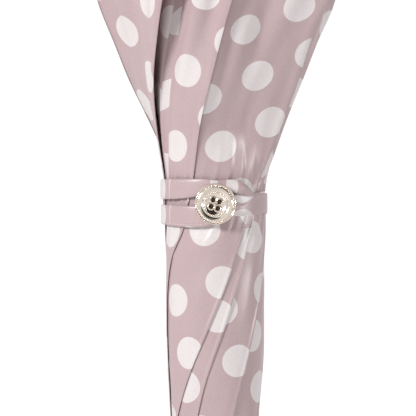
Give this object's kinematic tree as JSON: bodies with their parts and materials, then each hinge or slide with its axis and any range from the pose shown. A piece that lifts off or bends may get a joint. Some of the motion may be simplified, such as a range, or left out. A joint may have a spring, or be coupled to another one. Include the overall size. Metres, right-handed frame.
{
  "type": "stick umbrella",
  "caption": "Furled stick umbrella with a crook handle, polka-dot satin canopy and a fabric strap looped over a metal button; it opens and closes on its runner.",
  "frame": {"origin": "centre of the ferrule's flat end", "axes": "+Z along the shaft towards the handle, -Y is the front where the strap's button sits, +X to the right, where the crook points"},
  "size_m": [0.19, 0.19, 0.9017],
  "materials": {
    "fabric": "satin",
    "steel": "brushed",
    "gold": "polished",
    "wood": "varnished"
  },
  "bodies": {
    "root": {"shaft_tube": "steel", "ferrule": "gold", "canopy_cap": "gold", "crown_washer": "fabric", "crown": "gold", "crown_wire": "steel", "stop_collar": "steel", "handle": "wood", "handle_collar": "gold", "handle_end_cap": "gold", "canopy_panel_1": "fabric", "canopy_panel_2": "fabric", "canopy_panel_3": "fabric", "canopy_panel_4": "fabric", "canopy_panel_5": "fabric", "canopy_panel_6": "fabric", "canopy_panel_7": "fabric", "canopy_panel_8": "fabric"},
    "runner": {"runner_head": "gold", "runner_sleeve": "gold", "runner_wire": "steel"},
    "open_catch": {"open_catch": "steel"},
    "furled_catch": {"furled_catch": "steel"},
    "rib_1": {"rib_1": "steel", "rib_tip_1": "gold"},
    "stretcher_1": {"stretcher_1": "steel"},
    "fold_1": {"inner_fold_1": "fabric"},
    "rib_2": {"rib_2": "steel", "rib_tip_2": "gold"},
    "stretcher_2": {"stretcher_2": "steel"},
    "fold_2": {"inner_fold_2": "fabric"},
    "rib_3": {"rib_3": "steel", "rib_tip_3": "gold"},
    "stretcher_3": {"stretcher_3": "steel"},
    "fold_3": {"inner_fold_3": "fabric"},
    "rib_4": {"rib_4": "steel", "rib_tip_4": "gold"},
    "stretcher_4": {"stretcher_4": "steel"},
    "fold_4": {"inner_fold_4": "fabric"},
    "rib_5": {"rib_5": "steel", "rib_tip_5": "gold"},
    "stretcher_5": {"stretcher_5": "steel"},
    "fold_5": {"inner_fold_5": "fabric"},
    "rib_6": {"rib_6": "steel", "rib_tip_6": "gold"},
    "stretcher_6": {"stretcher_6": "steel"},
    "fold_6": {"inner_fold_6": "fabric"},
    "rib_7": {"rib_7": "steel", "rib_tip_7": "gold"},
    "stretcher_7": {"stretcher_7": "steel"},
    "fold_7": {"inner_fold_7": "fabric"},
    "rib_8": {"rib_8": "steel", "rib_tip_8": "gold"},
    "stretcher_8": {"stretcher_8": "steel"},
    "fold_8": {"inner_fold_8": "fabric"},
    "strap": {"strap_band": "fabric", "button": "gold", "button_shank": "gold"},
    "strap_loop": {"strap_loop": "fabric"}
  },
  "joints": [
    {"name": "runner_slide", "type": "slide", "parent": "root", "child": "runner", "axis": [0, 0, -1], "range_m": [0, 0.39378], "deforming": ["canopy_panel_1", "canopy_panel_2", "canopy_panel_3", "canopy_panel_4", "canopy_panel_5", "canopy_panel_6", "canopy_panel_7", "canopy_panel_8", "inner_fold_1", "inner_fold_2", "inner_fold_3", "inner_fold_4", "inner_fold_5", "inner_fold_6", "inner_fold_7", "inner_fold_8", "strap_band", "strap_loop", "open_catch", "furled_catch"]},
    {"name": "open_catch_press", "type": "slide", "parent": "root", "child": "open_catch", "axis": [-0.3827, 0.9239, 0], "range_m": [0, 0.0019], "stiffness_N_per_m": 600, "springref_m": -0.0008},
    {"name": "furled_catch_press", "type": "slide", "parent": "root", "child": "furled_catch", "axis": [-0.3827, 0.9239, 0], "range_m": [0, 0.0019], "stiffness_N_per_m": 600, "springref_m": -0.0008},
    {"name": "rib_1_hinge", "type": "hinge", "parent": "root", "child": "rib_1", "pos_m": [0, -0.0075, 0.095], "axis": [1, 0, 0], "range_deg": [0, 75]},
    {"name": "stretcher_1_hinge", "type": "hinge", "parent": "rib_1", "child": "stretcher_1", "pos_m": [0, -0.01988, 0.37487], "axis": [-1, 0, 0], "range_deg": [0, 138.12]},
    {"name": "fold_1_spread", "type": "hinge", "parent": "rib_1", "child": "fold_1", "pos_m": [0.0028, -0.00677, 0.09444], "axis": [-0.3122, 0.7537, -0.5783], "range_deg": [0, 53.89]},
    {"name": "rib_2_hinge", "type": "hinge", "parent": "root", "child": "rib_2", "pos_m": [0.0053, -0.0053, 0.095], "axis": [0.7071, 0.7071, 0], "range_deg": [0, 75]},
    {"name": "stretcher_2_hinge", "type": "hinge", "parent": "rib_2", "child": "stretcher_2", "pos_m": [0.01406, -0.01406, 0.37487], "axis": [-0.7071, -0.7071, 0], "range_deg": [0, 138.12]},
    {"name": "fold_2_spread", "type": "hinge", "parent": "rib_2", "child": "fold_2", "pos_m": [0.00677, -0.0028, 0.09444], "axis": [-0.7537, 0.3122, -0.5783], "range_deg": [0, 53.89]},
    {"name": "rib_3_hinge", "type": "hinge", "parent": "root", "child": "rib_3", "pos_m": [0.0075, 0, 0.095], "axis": [0, 1, 0], "range_deg": [0, 75]},
    {"name": "stretcher_3_hinge", "type": "hinge", "parent": "rib_3", "child": "stretcher_3", "pos_m": [0.01988, 0, 0.37487], "axis": [0, -1, 0], "range_deg": [0, 138.12]},
    {"name": "fold_3_spread", "type": "hinge", "parent": "rib_3", "child": "fold_3", "pos_m": [0.00677, 0.0028, 0.09444], "axis": [-0.7537, -0.3122, -0.5783], "range_deg": [0, 53.89]},
    {"name": "rib_4_hinge", "type": "hinge", "parent": "root", "child": "rib_4", "pos_m": [0.0053, 0.0053, 0.095], "axis": [-0.7071, 0.7071, 0], "range_deg": [0, 75]},
    {"name": "stretcher_4_hinge", "type": "hinge", "parent": "rib_4", "child": "stretcher_4", "pos_m": [0.01406, 0.01406, 0.37487], "axis": [0.7071, -0.7071, 0], "range_deg": [0, 138.12]},
    {"name": "fold_4_spread", "type": "hinge", "parent": "rib_4", "child": "fold_4", "pos_m": [0.0028, 0.00677, 0.09444], "axis": [-0.3122, -0.7537, -0.5783], "range_deg": [0, 53.89]},
    {"name": "rib_5_hinge", "type": "hinge", "parent": "root", "child": "rib_5", "pos_m": [0, 0.0075, 0.095], "axis": [-1, 0, 0], "range_deg": [0, 75]},
    {"name": "stretcher_5_hinge", "type": "hinge", "parent": "rib_5", "child": "stretcher_5", "pos_m": [0, 0.01988, 0.37487], "axis": [1, 0, 0], "range_deg": [0, 138.12]},
    {"name": "fold_5_spread", "type": "hinge", "parent": "rib_5", "child": "fold_5", "pos_m": [-0.0028, 0.00677, 0.09444], "axis": [0.3122, -0.7537, -0.5783], "range_deg": [0, 53.89]},
    {"name": "rib_6_hinge", "type": "hinge", "parent": "root", "child": "rib_6", "pos_m": [-0.0053, 0.0053, 0.095], "axis": [-0.7071, -0.7071, 0], "range_deg": [0, 75]},
    {"name": "stretcher_6_hinge", "type": "hinge", "parent": "rib_6", "child": "stretcher_6", "pos_m": [-0.01406, 0.01406, 0.37487], "axis": [0.7071, 0.7071, 0], "range_deg": [0, 138.12]},
    {"name": "fold_6_spread", "type": "hinge", "parent": "rib_6", "child": "fold_6", "pos_m": [-0.00677, 0.0028, 0.09444], "axis": [0.7537, -0.3122, -0.5783], "range_deg": [0, 53.89]},
    {"name": "rib_7_hinge", "type": "hinge", "parent": "root", "child": "rib_7", "pos_m": [-0.0075, 0, 0.095], "axis": [0, -1, 0], "range_deg": [0, 75]},
    {"name": "stretcher_7_hinge", "type": "hinge", "parent": "rib_7", "child": "stretcher_7", "pos_m": [-0.01988, 0, 0.37487], "axis": [0, 1, 0], "range_deg": [0, 138.12]},
    {"name": "fold_7_spread", "type": "hinge", "parent": "rib_7", "child": "fold_7", "pos_m": [-0.00677, -0.0028, 0.09444], "axis": [0.7537, 0.3122, -0.5783], "range_deg": [0, 53.89]},
    {"name": "rib_8_hinge", "type": "hinge", "parent": "root", "child": "rib_8", "pos_m": [-0.0053, -0.0053, 0.095], "axis": [0.7071, -0.7071, 0], "range_deg": [0, 75]},
    {"name": "stretcher_8_hinge", "type": "hinge", "parent": "rib_8", "child": "stretcher_8", "pos_m": [-0.01406, -0.01406, 0.37487], "axis": [-0.7071, 0.7071, 0], "range_deg": [0, 138.12]},
    {"name": "fold_8_spread", "type": "hinge", "parent": "rib_8", "child": "fold_8", "pos_m": [-0.0028, -0.00677, 0.09444], "axis": [0.3122, 0.7537, -0.5783], "range_deg": [0, 53.89]},
    {"name": "strap_settle", "type": "slide", "parent": "rib_1", "child": "strap", "axis": [0, 1, 0], "range_m": [0, 0.0062]},
    {"name": "strap_loop_swing", "type": "hinge", "parent": "strap", "child": "strap_loop", "pos_m": [-0.0316, 0, 0.48], "axis": [0, 0, -1], "range_deg": [0, 60], "deforming": ["strap_loop"]}
  ],
  "couplings": [
    {"joint": "rib_1_hinge", "follows": "runner_slide", "rad_per_m": 3.3242},
    {"joint": "stretcher_1_hinge", "follows": "runner_slide", "rad_per_m": 6.1218},
    {"joint": "fold_1_spread", "follows": "runner_slide", "rad_per_m": 2.3884},
    {"joint": "rib_2_hinge", "follows": "runner_slide", "rad_per_m": 3.3242},
    {"joint": "stretcher_2_hinge", "follows": "runner_slide", "rad_per_m": 6.1218},
    {"joint": "fold_2_spread", "follows": "runner_slide", "rad_per_m": 2.3884},
    {"joint": "rib_3_hinge", "follows": "runner_slide", "rad_per_m": 3.3242},
    {"joint": "stretcher_3_hinge", "follows": "runner_slide", "rad_per_m": 6.1218},
    {"joint": "fold_3_spread", "follows": "runner_slide", "rad_per_m": 2.3884},
    {"joint": "rib_4_hinge", "follows": "runner_slide", "rad_per_m": 3.3242},
    {"joint": "stretcher_4_hinge", "follows": "runner_slide", "rad_per_m": 6.1218},
    {"joint": "fold_4_spread", "follows": "runner_slide", "rad_per_m": 2.3884},
    {"joint": "rib_5_hinge", "follows": "runner_slide", "rad_per_m": 3.3242},
    {"joint": "stretcher_5_hinge", "follows": "runner_slide", "rad_per_m": 6.1218},
    {"joint": "fold_5_spread", "follows": "runner_slide", "rad_per_m": 2.3884},
    {"joint": "rib_6_hinge", "follows": "runner_slide", "rad_per_m": 3.3242},
    {"joint": "stretcher_6_hinge", "follows": "runner_slide", "rad_per_m": 6.1218},
    {"joint": "fold_6_spread", "follows": "runner_slide", "rad_per_m": 2.3884},
    {"joint": "rib_7_hinge", "follows": "runner_slide", "rad_per_m": 3.3242},
    {"joint": "stretcher_7_hinge", "follows": "runner_slide", "rad_per_m": 6.1218},
    {"joint": "fold_7_spread", "follows": "runner_slide", "rad_per_m": 2.3884},
    {"joint": "rib_8_hinge", "follows": "runner_slide", "rad_per_m": 3.3242},
    {"joint": "stretcher_8_hinge", "follows": "runner_slide", "rad_per_m": 6.1218},
    {"joint": "fold_8_spread", "follows": "runner_slide", "rad_per_m": 2.3884},
    {"joint": "strap_settle", "follows": "runner_slide", "ratio": 0.01574}
  ]
}
